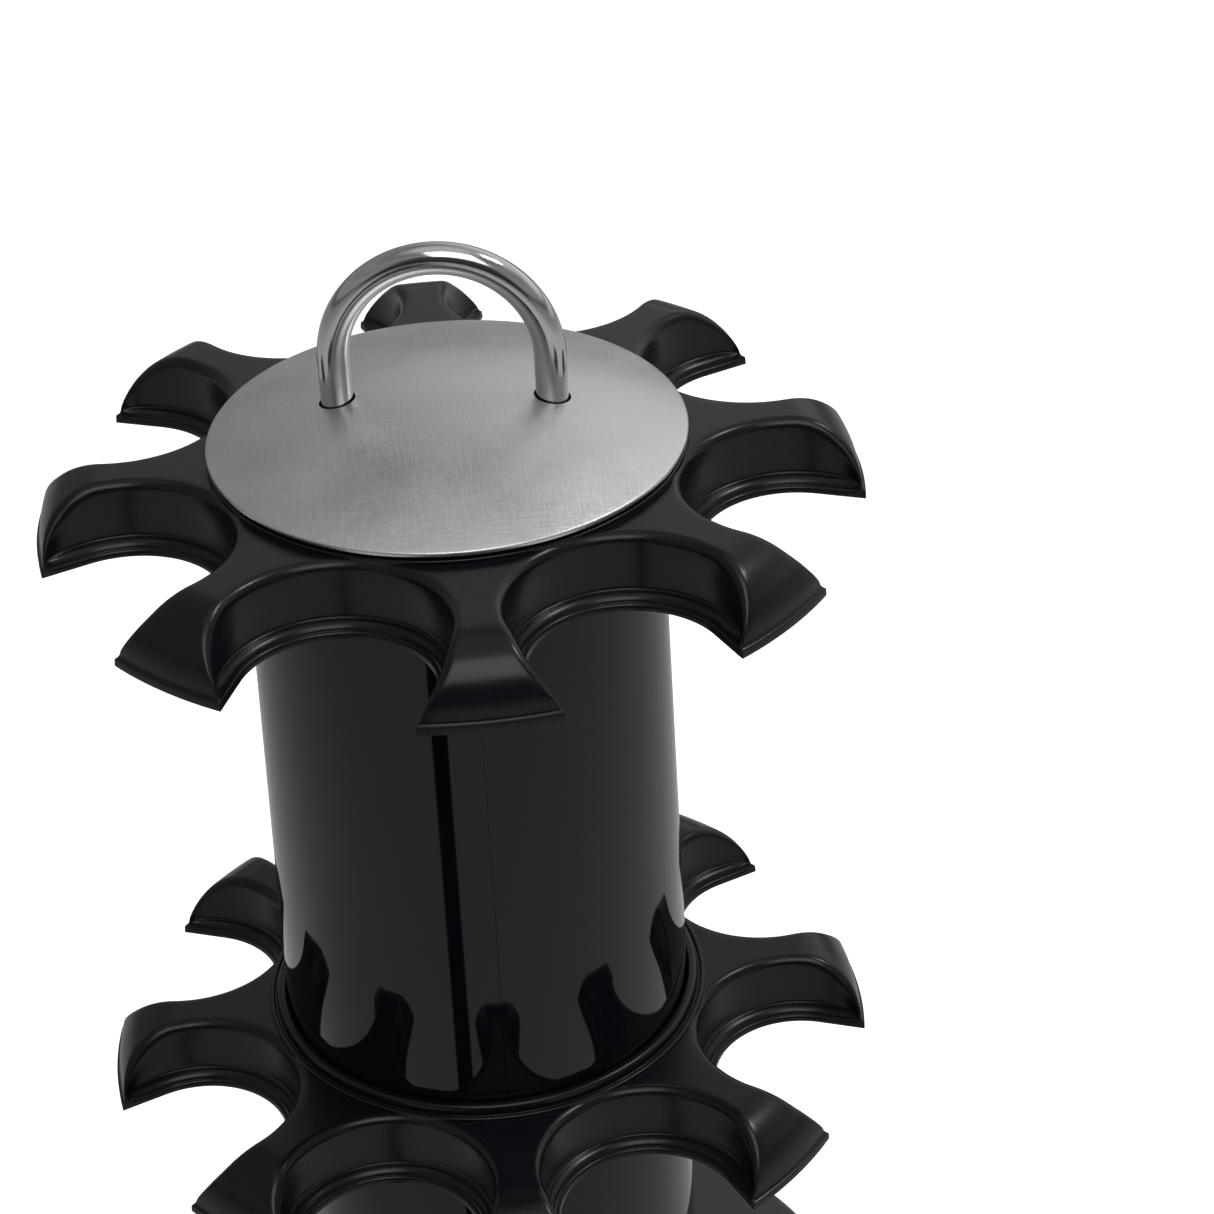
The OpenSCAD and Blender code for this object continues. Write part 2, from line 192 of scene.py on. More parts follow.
class NodeMaker:
    """Short hands for the nodes that the finishes share."""

    def __init__(self, tree: bpy.types.NodeTree) -> None:
        """Keeps the tree and starts its coordinates.

        Args:
            tree: Node tree that the nodes go into.
        """
        self.tree = tree
        self.place = tree.nodes.new("ShaderNodeTexCoord").outputs["Object"]

    def node(self, kind: str, **values: float | Sequence[float]) -> bpy.types.Node:
        """Adds a node and fills in its inputs.

        Args:
            kind: The node's type, without the words that all shader nodes start with.
            values: Numbers by input.

        Returns:
            The node.
        """
        made = self.tree.nodes.new("ShaderNode" + kind)
        for name, value in values.items():
            made.inputs[name].default_value = value
        return made

    def link(self, source: Socket, target: Socket) -> None:
        """Joins an output to an input."""
        self.tree.links.new(source, target)

    def noise(self, scale: float, stretch: Axes | None = None, detail: float = 2) -> Socket:
        """Adds a noise texture.

        Args:
            scale: Features per metre.
            stretch: Scale of each axis, for streaks.
            detail: Octaves of finer noise.

        Returns:
            The noise's value.
        """
        node = self.node("TexNoise", Scale=scale, Detail=detail)
        place = self.place
        if stretch:
            mapping = self.node("Mapping", Scale=stretch)
            self.link(place, mapping.inputs["Vector"])
            place = mapping.outputs["Vector"]
        self.link(place, node.inputs["Vector"])
        return node.outputs["Fac"]

    def arch_lines(self, scale: float) -> Socket:
        """Adds noise in lines that follow the handle's legs and arch.

        Args:
            scale: Lines per metre round the rod.

        Returns:
            The noise's value.
        """
        turned = self.node("Mapping", Rotation=(0, 0, ARCH.turn), Location=(0, 0, ARCH.spring * MM))
        turned.vector_type = "TEXTURE"
        self.link(self.place, turned.inputs["Vector"])
        parts = self.node("SeparateXYZ")
        self.link(turned.outputs["Vector"], parts.inputs[0])
        above = self.work_out("MAXIMUM", parts.outputs["Z"], 0)
        out = self.node("VectorMath")
        out.operation = "LENGTH"
        self.link(self._joined(parts.outputs["X"], above), out.inputs[0])
        lines = self.node("TexNoise", Scale=scale, Detail=3)
        self.link(self._joined(out.outputs["Value"], parts.outputs["Y"]), lines.inputs["Vector"])
        return self.mean(lines.outputs["Fac"], self.noise(scale / 6, detail=2))

    def _joined(self, x: Socket, y: Socket) -> Socket:
        """Joins two values into a flat vector.

        Args:
            x: First value.
            y: Second value.

        Returns:
            The vector.
        """
        node = self.node("CombineXYZ")
        self.link(x, node.inputs["X"])
        self.link(y, node.inputs["Y"])
        return node.outputs[0]

    def cells(self, scale: float) -> Socket:
        """Adds a cell texture.

        Args:
            scale: Cells per metre.

        Returns:
            The distance from each cell's middle.
        """
        node = self.node("TexVoronoi", Scale=scale)
        self.link(self.place, node.inputs["Vector"])
        return node.outputs["Distance"]

    def work_out(self, operation: str, *values: Socket | float) -> Socket:
        """Adds a step of arithmetic.

        Args:
            operation: Its name in the node.
            values: Sockets or numbers, in order.

        Returns:
            The result.
        """
        node = self.node("Math")
        node.operation = operation
        for socket, value in zip(node.inputs, values):
            if isinstance(value, Socket):
                self.link(value, socket)
            else:
                socket.default_value = value
        return node.outputs[0]

    def mean(self, a: Socket, b: Socket) -> Socket:
        """Returns the mean of two values."""
        return self.work_out("MULTIPLY", self.work_out("ADD", a, b), 0.5)

    def map_range(self, value: Socket, source: Point, target: Point, smooth: bool = False) -> Socket:
        """Maps one range to another.

        Args:
            value: Value to map.
            source: Its range.
            target: The range that it becomes.
            smooth: Whether the ends are eased.

        Returns:
            The mapped value.
        """
        node = self.node("MapRange")
        node.interpolation_type = "SMOOTHSTEP" if smooth else "LINEAR"
        for end, number in zip(("From Min", "From Max", "To Min", "To Max"), (*source, *target)):
            node.inputs[end].default_value = number
        self.link(value, node.inputs["Value"])
        return node.outputs["Result"]

    def spread(self, value: Socket, middle: float, reach: float) -> Socket:
        """Maps a noise value to a range round a middle.

        Args:
            value: Noise, mostly from 0.3 to 0.7.
            middle: Middle of the range.
            reach: Half of the range.

        Returns:
            The mapped value.
        """
        return self.map_range(value, (0.3, 0.7), (middle - reach, middle + reach))

    def blend(self, share: Socket, a: Colour | Socket, b: Colour) -> Socket:
        """Mixes two colours.

        Args:
            share: How much of the second shows.
            a: First colour, or a socket that gives it.
            b: Second colour.

        Returns:
            The mixed colour.
        """
        node = self.node("Mix")
        node.data_type = "RGBA"
        self.link(share, node.inputs[0])
        if isinstance(a, Socket):
            self.link(a, node.inputs[6])
        else:
            node.inputs[6].default_value = (*a, 1)
        node.inputs[7].default_value = (*b, 1)
        return node.outputs[2]

    def edge_wear(self) -> Socket:
        """Returns a share that rises on the mesh's sharp outer edges."""
        shape = self.node("NewGeometry")
        return self.map_range(shape.outputs["Pointiness"], (0.53, 0.66), (0, 0.6))

    def bump(self, height: Socket, depth: float) -> Socket:
        """Turns heights into a bumped normal.

        Args:
            height: Heights from 0 to 1.
            depth: Depth in metres of a height of 1.

        Returns:
            The normal.
        """
        node = self.node("Bump", Distance=depth)
        self.link(height, node.inputs["Height"])
        return node.outputs["Normal"]


def start_material(
    name: str, settings: dict[str, float | Sequence[float]]
) -> tuple[bpy.types.Material, NodeMaker, bpy.types.Node]:
    """Starts a node material.

    Args:
        name: Its name.
        settings: Constants of the shader, by socket.

    Returns:
        The material, its node maker and its shader.
    """
    material = bpy.data.materials.new(name)
    material.use_nodes = True
    shader = material.node_tree.nodes["Principled BSDF"]
    for socket, value in settings.items():
        shader.inputs[socket].default_value = value
    return material, NodeMaker(material.node_tree), shader


TIER_SATIN = Finish(
    "satin_black_moulding", "tier_plastic", Grain.MOULDED, (0.0042, 0.0042, 0.0068),
    (0.0135, 0.0133, 0.019), roughness=0.25, spread=0.05, pitch=0.3, depth=0.0055, specular=0.3,
)
TUBE_GLOSS = Finish(
    "gloss_black_tube", "tube_plastic", Grain.GLOSS, (0.0035, 0.0034, 0.006),
    (0.006, 0.0058, 0.0095), roughness=0.05, spread=0.02, pitch=0.5, depth=0.0006, specular=0.36,
)
BASE_SATIN = Finish(
    "satin_black_base", "base_plastic", Grain.MOULDED, (0.013, 0.013, 0.0145),
    (0.03, 0.03, 0.033), roughness=0.42, spread=0.06, pitch=0.45, depth=0.014,
)
CAP_BRUSHED = Finish(
    "brushed_cap_steel", "cap_steel", Grain.CROSS_BRUSHED, (0.62, 0.62, 0.63),
    (0.98, 0.98, 0.99), metallic=1, roughness=0.38, spread=0.09, pitch=0.6, depth=0.085,
)
HANDLE_BRIGHT = Finish(
    "polished_handle_steel", "handle_steel", Grain.ARCHED, (0.56, 0.55, 0.54),
    (0.7, 0.69, 0.68), metallic=1, roughness=0.12, spread=0.05, pitch=0.3, depth=0.006,
)
ZINC = Finish(
    "zinc_plate", "zinc_steel", Grain.PLATED, (0.42, 0.43, 0.45),
    (0.56, 0.57, 0.58), metallic=1, roughness=0.36, spread=0.1, pitch=0.9, depth=0.01,
)
BALL_STEEL = Finish(
    "bearing_steel", "ball_steel", Grain.DRAWN, (0.62, 0.62, 0.62),
    (0.7, 0.7, 0.7), metallic=1, roughness=0.08, spread=0.03, pitch=0.4, depth=0.0005,
)
NYLON = Finish(
    "natural_nylon", "nylon", Grain.SOFT, (0.7, 0.68, 0.62),
    (0.8, 0.78, 0.73), roughness=0.45, spread=0.07, pitch=0.8, depth=0.008,
)
RUBBER = Finish(
    "soft_rubber", "rubber", Grain.SOFT, (0.016, 0.016, 0.016),
    (0.04, 0.04, 0.04), roughness=0.72, spread=0.1, pitch=0.6, depth=0.03, specular=0.35,
)
FINISH_OF_SLOT = {
    finish.slot: finish
    for finish in (
        TIER_SATIN, TUBE_GLOSS, BASE_SATIN, CAP_BRUSHED, HANDLE_BRIGHT, ZINC, BALL_STEEL, NYLON, RUBBER,
    )
}


# ---- mesh helpers


def to_object(mesh: bmesh.types.BMesh, name: str) -> Piece:
    """Closes a mesh in millimetres into a smooth-shaded object in metres.

    Args:
        mesh: Mesh in millimetres. It is freed.
        name: Name of the object.

    Returns:
        The object, linked to the scene.
    """
    bmesh.ops.remove_doubles(mesh, verts=mesh.verts, dist=MERGE_WITHIN)
    bmesh.ops.dissolve_degenerate(mesh, edges=mesh.edges, dist=DEGENERATE_WITHIN)
    bmesh.ops.recalc_face_normals(mesh, faces=mesh.faces)
    mesh.transform(Matrix.Scale(MM, 4))
    data = bpy.data.meshes.new(name)
    mesh.to_mesh(data)
    mesh.free()
    data.shade_smooth()
    data.set_sharp_from_angle(angle=SMOOTH_ANGLE)
    made = bpy.data.objects.new(name, data)
    bpy.context.scene.collection.objects.link(made)
    return made


def even_turns(count: int) -> list[float]:
    """Returns evenly spaced angles round a circle."""
    return [math.tau * i / count for i in range(count)]


def ring(radius: float, z: float, turns: Iterable[float]) -> list[Vector]:
    """Returns the points at a radius and height, one for each angle."""
    return [Vector((radius * math.cos(t), radius * math.sin(t), z)) for t in turns]


def skin(
    mesh: bmesh.types.BMesh, rings: Sequence[Sequence[Vector]], closed: bool = True
) -> list[list[bmesh.types.BMVert]]:
    """Joins rows of points with quads.

    Args:
        mesh: Mesh that takes the faces.
        rings: Rows of equal length.
        closed: Whether each row's last point joins its first.

    Returns:
        The vertices, row by row.
    """
    rows = [[mesh.verts.new(p) for p in ring] for ring in rings]
    count = len(rows[0])
    for low, high in zip(rows, rows[1:]):
        for i in range(count if closed else count - 1):
            j = (i + 1) % count
            mesh.faces.new((low[i], low[j], high[j], high[i]))
    return rows


@dataclass(frozen=True)
class Corner:
    """A corner of an outline.

    Attributes:
        r: Radius from the axis in millimetres.
        z: Height in millimetres.
        round: Radius that rounds the corner.
    """

    r: float
    z: float
    round: float = 0.0


def outline(corners: Sequence[Corner], steps: int = 6) -> list[Point]:
    """Rounds the corners of a closed outline.

    Args:
        corners: Corners in order.
        steps: Edges in each rounded corner.

    Returns:
        The outline's points.
    """
    points: list[Point] = []
    count = len(corners)
    for i, corner in enumerate(corners):
        here = Vector((corner.r, corner.z))
        if not corner.round:
            points.append((here.x, here.y))
            continue
        before, after = corners[i - 1], corners[(i + 1) % count]
        back = (Vector((before.r, before.z)) - here).normalized()
        on = (Vector((after.r, after.z)) - here).normalized()
        half = back.angle(on) / 2
        centre = here + (back + on).normalized() * (corner.round / math.sin(half))
        start = here + back * (corner.round / math.tan(half)) - centre
        end = here + on * (corner.round / math.tan(half)) - centre
        for k in range(steps + 1):
            spoke = start.lerp(end, k / steps).normalized() * corner.round
            points.append((centre.x + spoke.x, centre.y + spoke.y))
    return points


def revolve(
    name: str,
    points: Sequence[Point],
    steps: int = 192,
    groove: Callable[[float], float] | None = None,
    angles: Sequence[float] | None = None,
) -> Piece:
    """Turns a closed outline about the axis.

    Args:
        name: Name of the object.
        points: Radii and heights of the outline in millimetres.
        steps: Number of evenly spaced columns.
        groove: Depth of a groove down the outer side at an angle, in millimetres.
        angles: Angles of the columns, instead of even ones.

    Returns:
        The object.
    """
    mesh = bmesh.new()
    turns = list(angles) if angles else even_turns(steps)
    outer = max(r for r, _ in points) - GROOVED_BAND
    rings = []
    for r, z in points:
        row = []
        for turn in turns:
            row += ring(r - (groove(turn) if groove and r > outer else 0), z, [turn])
        rings.append(row)
    skin(mesh, [*rings, rings[0]])
    return to_object(mesh, name)


def sweep(name: str, path: Sequence[Vector], radii: Sequence[float], sides: int = 64) -> Piece:
    """Runs a round section along a path in the XZ plane.

    Args:
        name: Name of the object.
        path: Points of the centre line in millimetres.
        radii: Radius at each point. The ends close to a point.
        sides: Points round the section.

    Returns:
        The object.
    """
    mesh = bmesh.new()
    across = Vector((0, 1, 0))
    rings = []
    for i, centre in enumerate(path):
        run = (path[min(i + 1, len(path) - 1)] - path[max(i - 1, 0)]).normalized()
        side = run.cross(across)
        rings.append([
            centre + (side * math.cos(t) + across * math.sin(t)) * radii[i]
            for t in even_turns(sides)
        ])
    rows = skin(mesh, rings)
    mesh.faces.new(rows[0][::-1])
    mesh.faces.new(rows[-1])
    return to_object(mesh, name)


def dress(piece: Piece, finish: Finish, body: str, stands_for: Iterable[str] = ()) -> Piece:
    """Gives a piece its finish and its body, and hides the CAD nodes that it stands for.

    Args:
        piece: New piece, already in place.
        finish: Its finish.
        body: Body that it rides on.
        stands_for: CAD nodes that it replaces.

    Returns:
        The piece.
    """
    piece.data.materials.clear()
    piece.data.materials.append(finish.material())
    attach(piece, body)
    if stands_for:
        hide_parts(*stands_for)
    log.info("%s: %d faces, %s", piece.name, len(piece.data.polygons), finish.name)
    return piece


def low(node: str) -> float:
    """Returns the lowest height of a CAD node in millimetres."""
    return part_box(node)[0].z / MM


def top(node: str) -> float:
    """Returns the highest height of a CAD node in millimetres."""
    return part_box(node)[1].z / MM


def reach(node: str) -> float:
    """Returns how far a CAD node reaches along X in millimetres."""
    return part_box(node)[1].x / MM


# ---- tiers


@dataclass
class Station:
    """Cross-section of half a pocket's side.

    Attributes:
        crown: Points from the arm's middle to the pocket's rounded edge.
        wall: Points from that edge down the wall and over the lip to the lip's foot.
        under: Points of the hollow side, from the lip's foot back to the arm's middle.
        on_ring: Whether the first point lies on the hub's circle, not on the arm's middle.
    """

    crown: list[Vector]
    wall: list[Vector]
    under: list[Vector]
    on_ring: bool


@dataclass
class StarTier:
    """A star-shaped moulding with eight pockets, and the hub and collar in its middle.

    Attributes:
        node: CAD node that it stands for.
        tube_top: Outer radius of the tube below at its top.
        title: First part of the pieces' names.
    """

    node: str
    tube_top: float
    title: str
    pockets: int = 8
    flat: float = 16.0
    shoulder: float = 14.4
    shoulder_base: float = 1.6
    foot_lip: float = 0.7
    mouth: float = 13.3
    pocket_r: float = 23.9
    lip_w: float = 3.6
    lip_h: float = 3.05
    cove_h: float = 1.1
    splay_w: float = 2.0
    splay_h: float = 7.5
    splay_power: float = 2.3
    lip_share: float = 0.93
    cove_share: float = 0.7
    fade_from: float = 38
    fade_over: float = 46
    edge_r: float = 2.2
    foot_edge_r: float = 0.35
    wall_t: float = 2.2
    hub_in: float = 50.0
    hollow_from: float = 53.5
    rim: float = 52.0
    bore: float = 49.4
    socket: float = 48.0
    seat: float = 14.0
    web: float = 11.5
    spigot_drop: float = 6.0
    spigot_inset: float = 2.15
    spigot_wall: float = 2.5
    rod_hole: float = 3.2

    flat_steps: int = 44
    shoulder_steps: int = 26
    crown_steps: int = 6
    edge_steps: int = 7

    def build(self) -> list[Piece]:
        """Builds the tier's pieces.

        Returns:
            The star and the hub with its collar.
        """
        self.foot = low(self.node)
        self.tip = reach(self.node)
        self.pocket_at = self.tip - self.mouth
        self.skirt = self.tip - self.foot_lip
        self.shoulder_at = self.skirt - self.shoulder
        self.half = math.pi / self.pockets
        # the lip's foot runs on from where the shoulder's last cross-section leaves it to the tip
        self.lip_start = self._bearing(self.tip, self.pocket_r)
        tube = self.shoulder - self.foot_edge_r
        last = self.shoulder_at + tube * math.sin(self.LAST_SLOPE)
        self.lip_end = self._bearing(last, self.pocket_r + self.foot_edge_r)
        return [
            dress(self._star(), TIER_SATIN, "carousel", [self.node]),
            dress(self._hub(), TIER_SATIN, "carousel", [self.node]),
        ]

    # the cove between wall and lip: share of the lip's width, share of the cove's height
    COVE = ((0.0, 1.0), (0.01, 0.7), (0.03, 0.42), (0.065, 0.2), (0.11, 0.06))
    # the lip's section from the cove inward: share of its width, share of its height
    LIP = (
        (0.17, 1.0), (0.26, 0.985), (0.36, 0.945), (0.46, 0.885), (0.55, 0.815), (0.63, 0.73), (0.69, 0.64),
        (0.725, 0.56), (0.74, 0.51), (0.76, 0.49), (0.8, 0.485), (0.86, 0.46), (0.92, 0.4), (0.965, 0.3),
        (0.99, 0.17), (1.0, 0.06), (1.0, 0.0),
    )
    LAST_SLOPE = math.radians(81)
    # the foot's flare from the skirt outward: share of the way out, height
    FLARE = ((0.07, 2.75), (0.2, 2.35), (0.42, 2.06), (0.7, 1.9), (0.92, 1.82), (1.0, 1.7))

    def _bearing(self, radius: float, from_pocket: float) -> float:
        """Finds where two circles meet, one about the axis and one about the pocket.

        Args:
            radius: Radius about the tier's axis.
            from_pocket: Radius about the pocket's middle.

        Returns:
            The angle at the pocket's middle, from the outward direction.
        """
        at = self.pocket_at
        share = (radius**2 - at**2 - from_pocket**2) / (2 * at * from_pocket)
        return math.acos(max(-1.0, min(1.0, share)))

    def _round_pocket(self, turn: float, radius: float, z: float) -> Vector:
        """Returns the point at an angle and radius about the pocket's middle."""
        return Vector((self.pocket_at + radius * math.cos(turn), radius * math.sin(turn), z))

    def _arc(self, start: Vector, radius: float, z: float) -> list[Vector]:
        """Runs along a circle about the tier's axis, from the arm's middle to a point.

        Args:
            start: Point whose bearing ends the arc.
            radius: Radius of the circle.
            z: Height.

        Returns:
            The arc's points without the last one.
        """
        bearing = math.atan2(start.y, start.x)
        steps = range(self.crown_steps)
        return ring(radius, z, (self.half + (bearing - self.half) * k / self.crown_steps for k in steps))

    def _edge(self, centre: Vector, to_wall: Vector, to_crown: Vector, radius: float) -> list[Vector]:
        """Rounds the pocket's edge as a ball rolled along it would.

        Args:
            centre: Middle of the ball.
            to_wall: Direction of the wall.
            to_crown: Direction of the arm's upper surface.
            radius: Radius of the ball.

        Returns:
            Points from the crown to the wall.
        """
        angle = to_crown.angle(to_wall)
        points = []
        for k in range(self.edge_steps + 1):
            t = k / self.edge_steps
            spoke = to_crown * math.sin((1 - t) * angle) + to_wall * math.sin(t * angle)
            points.append(centre + spoke * (radius / math.sin(angle)))
        return points

    def _lip(self, turn: float, edge: Vector) -> list[Vector]:
        """Runs down the wall and over the lip.

        Args:
            turn: Angle about the pocket's middle that the lip's foot is found from.
            edge: Lowest point of the rounded edge.

        Returns:
            Points below the edge, down to the lip's foot.
        """
        inner_r = self.pocket_r - self.lip_w
        if turn > math.pi / 2:
            foot = self._round_pocket(turn, inner_r, 0)
        else:
            out = math.sqrt(self.tip**2 - inner_r**2) - self.pocket_at
            share = (math.pi / 2 - turn) / (math.pi / 2 - self.lip_start)
            foot = Vector((self.pocket_at + out * share, inner_r, 0))
        height = min(self.lip_h, edge.z * self.lip_share)
        base = Vector((edge.x, edge.y, 0))
        cove = min(self.cove_h, (edge.z - height) * self.cove_share)
        bottom = height + cove
        points = [Vector((edge.x, edge.y, edge.z + (bottom - edge.z) * k / 3)) for k in (1, 2)]
        section = [(inward, height + cove * up) for inward, up in self.COVE]
        section += [(inward, height * up) for inward, up in self.LIP]
        for inward, z in section:
            at = base.lerp(foot, inward)
            points.append(Vector((at.x, at.y, z)))
        return points

    def _splay(self, edge: list[Vector]) -> list[Vector]:
        """Turns low points of an arm's edge outward to its foot's corner.

        Args:
            edge: Points of the rounded edge.

        Returns:
            The same points, moved into the pocket by up to the splay's width.
        """
        moved = []
        for p in edge:
            share = max(0.0, 1 - (p.z - self.FLARE[-1][1]) / self.splay_h)
            across = -self.splay_w * share**self.splay_power / p.xy.length
            moved.append(Matrix.Rotation(across, 3, "Z") @ p)
        return moved

    def _under(self, foot: Vector, rim: Vector, roof: float, middle: Vector) -> list[Vector]:
        """Runs over the hollow side.

        Args:
            foot: The lip's foot.
            rim: Where the hollow's wall meets the underside, in plan.
            roof: Height of the hollow's roof, or 0 where there is no hollow.
            middle: Where the hollow meets the arm's middle, in plan.

        Returns:
            Points from the lip's foot inward.
        """
        half_way = (rim + middle) / 2
        return [
            Vector((foot.x, foot.y, 0)),
            Vector((rim.x, rim.y, 0)),
            Vector((rim.x, rim.y, roof)),
            Vector((half_way.x, half_way.y, roof)),
            Vector((middle.x, middle.y, roof)),
        ]

    def _hollow_rim(self, out: float) -> Vector:
        """Returns where the hollow's wall reaches a radius about the tier's axis, in plan."""
        radius = self.pocket_r + self.wall_t
        return self._round_pocket(self._bearing(out, radius), radius, 0)

    def _on_axis(self, radius: float, z: float = 0.0) -> Vector:
        """Returns the point of the arm's middle line at a radius and height."""
        return Vector((radius * math.cos(self.half), radius * math.sin(self.half), z))

    def _flat_station(self, share: float) -> Station:
        """Cuts across the flat top.

        Args:
            share: How far along, from the pocket's inmost point at 0 to the shoulder at 1.

        Returns:
            The cross-section.
        """
        ball = self.pocket_r + self.edge_r
        turn = math.pi + (self._bearing(self.shoulder_at, ball) - math.pi) * share
        centre = self._round_pocket(turn, ball, self.flat - self.edge_r)
        to_wall = Vector((-math.cos(turn), -math.sin(turn), 0))
        edge = self._edge(centre, to_wall, Vector((0, 0, 1)), self.edge_r)
        on_ring = share < 0.5
        if on_ring:
            bearing = self.half * share * 2
            middle = Vector((self.hub_in * math.cos(bearing), self.hub_in * math.sin(bearing), self.flat))
        else:
            out = self.hub_in + (self.shoulder_at - self.hub_in) * (share - 0.5) * 2
            middle = self._on_axis(out, self.flat)
        crown = [middle.lerp(edge[0], k / self.crown_steps) for k in range(self.crown_steps)]
        wall = edge + self._lip(turn, edge[-1])
        hollow = not on_ring and middle.xy.length >= self.hollow_from
        roof = self.flat - self.wall_t if hollow else 0.0
        return Station(crown, wall, self._under(wall[-1], centre, roof, middle), on_ring)

    def _shoulder_station(self, slope: float) -> Station:
        """Cuts across the rounded shoulder.

        Args:
            slope: Slope of the shoulder there, from 0 at the flat top.

        Returns:
            The cross-section.
        """
        fade = min(1.0, max(0.0, (math.degrees(slope) - self.fade_from) / self.fade_over))
        radius = self.edge_r + (self.foot_edge_r - self.edge_r) * fade * fade * (3 - 2 * fade)
        tube = self.shoulder - radius
        out = self.shoulder_at + tube * math.sin(slope)
        turn = self._bearing(out, self.pocket_r + radius)
        centre = self._round_pocket(turn, self.pocket_r + radius, self.shoulder_base + tube * math.cos(slope))
        outward = Vector((centre.x, centre.y, 0)).normalized()
        to_crown = outward * math.sin(slope) + Vector((0, 0, math.cos(slope)))
        to_wall = Vector((-math.cos(turn), -math.sin(turn), 0))
        edge = self._splay(self._edge(centre, to_wall, to_crown, radius))
        at = self.shoulder_at + self.shoulder * math.sin(slope)
        crown = self._arc(edge[0], at, self.shoulder_base + self.shoulder * math.cos(slope))
        wall = edge + self._lip(turn, edge[-1])
        inner = self.shoulder - self.wall_t
        inside = self.shoulder_at + inner * math.sin(slope)
        rim = self._hollow_rim(inside)
        roof = self.shoulder_base + inner * math.cos(slope)
        return Station(crown, wall, self._under(wall[-1], rim, roof, self._on_axis(inside)), False)

    def _flare_station(self, share: float, z: float, last_slope: float) -> Station:
        """Cuts across the foot's flare.

        Args:
            share: How far out between the skirt and the tip.
            z: Height there.
            last_slope: Slope at which the shoulder stopped.

        Returns:
            The cross-section.
        """
        above = self._shoulder_station(last_slope).wall[: self.edge_steps + 1]
        start = above[0].xy.length
        out = start + (self.tip - start) * share
        edge = []
        for p in above:
            far = p.xy.length + (self.tip - p.xy.length) * share
            edge.append(Vector((*(p.xy.normalized() * far), z)))
        low_edge = self._splay([Vector((p.x, p.y, z)) for p in edge])
        kept = self._splay([Vector((p.x, p.y, q.z)) for p, q in zip(edge, above)])
        edge = [Vector((p.x + a.x - b.x, p.y + a.y - b.y, z)) for p, a, b in zip(edge, low_edge, kept)]
        wall = edge + self._lip(self.lip_end * (1 - share) + self.lip_start * share, edge[-1])
        inside = self.skirt - self.wall_t + (self.foot_lip + self.wall_t) * share
        rim = self._hollow_rim(inside)
        return Station(
            self._arc(edge[0], out, z), wall, self._under(wall[-1], rim, 0.0, self._on_axis(inside)), False
        )

    def _stations(self) -> list[Station]:
        """Cuts the half sector all along.

        Returns:
            The cross-sections from the pocket's inmost point to the arm's tip.
        """
        last_slope = self.LAST_SLOPE
        made = [self._flat_station(k / self.flat_steps) for k in range(self.flat_steps + 1)]
        for k in range(1, self.shoulder_steps + 1):
            made.append(self._shoulder_station(last_slope * k / self.shoulder_steps))
        made += [self._flare_station(share, z, last_slope) for share, z in self.FLARE]
        return made

    def _half_sector(self, mesh: bmesh.types.BMesh, place: Matrix) -> None:
        """Adds the side of one pocket, up to the middle of an arm.

        Args:
            mesh: Mesh that takes the faces.
            place: Where the half sector goes, with a mirror for every second one.
        """
        stations = self._stations()
        rows = []
        for station in stations:
            points = [*station.crown, *station.wall, *station.under[1:]]
            rows.append([mesh.verts.new(place @ p) for p in points])
        closed = len(stations[0].crown) + len(stations[0].wall)
        for i, (a, b) in enumerate(zip(rows, rows[1:])):
            last = i == len(rows) - 2
            for j in range(closed - 1 if last else len(a) - 1):
                mesh.faces.new((a[j], a[j + 1], b[j + 1], b[j]))
            if stations[i].on_ring:
                mesh.faces.new((a[0], b[0], b[-1], a[-1]))
        # the upright edge at the tip, and the underside behind it
        tip, before = rows[-1][:closed], rows[-2]
        drop = [mesh.verts.new((v.co.x, v.co.y, (place @ Vector()).z)) for v in tip[:-1]] + [tip[-1]]
        for j in range(closed - 1):
            ends = (tip[j], tip[j + 1], drop[j + 1], drop[j])
            mesh.faces.new(dict.fromkeys(ends))
        mesh.faces.new([*before[closed - 1 : closed + 1], before[-1], *drop])
        for v in rows[-1][closed:]:
            mesh.verts.remove(v)

    def _star(self) -> Piece:
        """Builds the star of arms and pockets.

        Returns:
            The star.
        """
        mesh = bmesh.new()
        lift = Matrix.Translation((0, 0, self.foot))
        for i in range(self.pockets):
            turn = Matrix.Rotation((2 * i + 1) * self.half, 4, "Z")
            self._half_sector(mesh, lift @ turn)
            self._half_sector(mesh, lift @ turn @ Matrix.Scale(-1, 4, (0, 1, 0)))
        return to_object(mesh, f"{self.title}_star")

    def _hub(self) -> Piece:
        """Builds the hub, its web and spigot, and the ridged collar on top.

        Returns:
            The hub.
        """
        spigot = self.tube_top - self.spigot_inset
        spigot_in = spigot - self.spigot_wall
        low_end = self.web - self.spigot_drop
        gap, shelf, bead, valley, crest = 0.05, 15.0, 16.8, 16.2, 18.6
        corners = [
            Corner(self.bore, gap), Corner(self.rim - 0.1, gap), Corner(self.rim - 0.1, shelf),
            Corner(self.rim, shelf + 0.3), Corner(self.rim, bead, 0.45), Corner(50.95, bead, 0.35),
            Corner(50.75, valley, 0.1), Corner(50.25, valley, 0.2), Corner(50.0, crest, 0.9),
            Corner(self.socket, crest, 0.4), Corner(self.socket, self.seat), Corner(self.rod_hole, self.seat),
            Corner(self.rod_hole, self.web), Corner(spigot_in, self.web), Corner(spigot_in, low_end, 0.4),
            Corner(spigot, low_end, 0.4), Corner(spigot, self.web), Corner(self.bore, self.web),
        ]
        points = [(r, z + self.foot) for r, z in outline(corners)]
        return revolve(f"{self.title}_hub", points, steps=240)


# ---- column


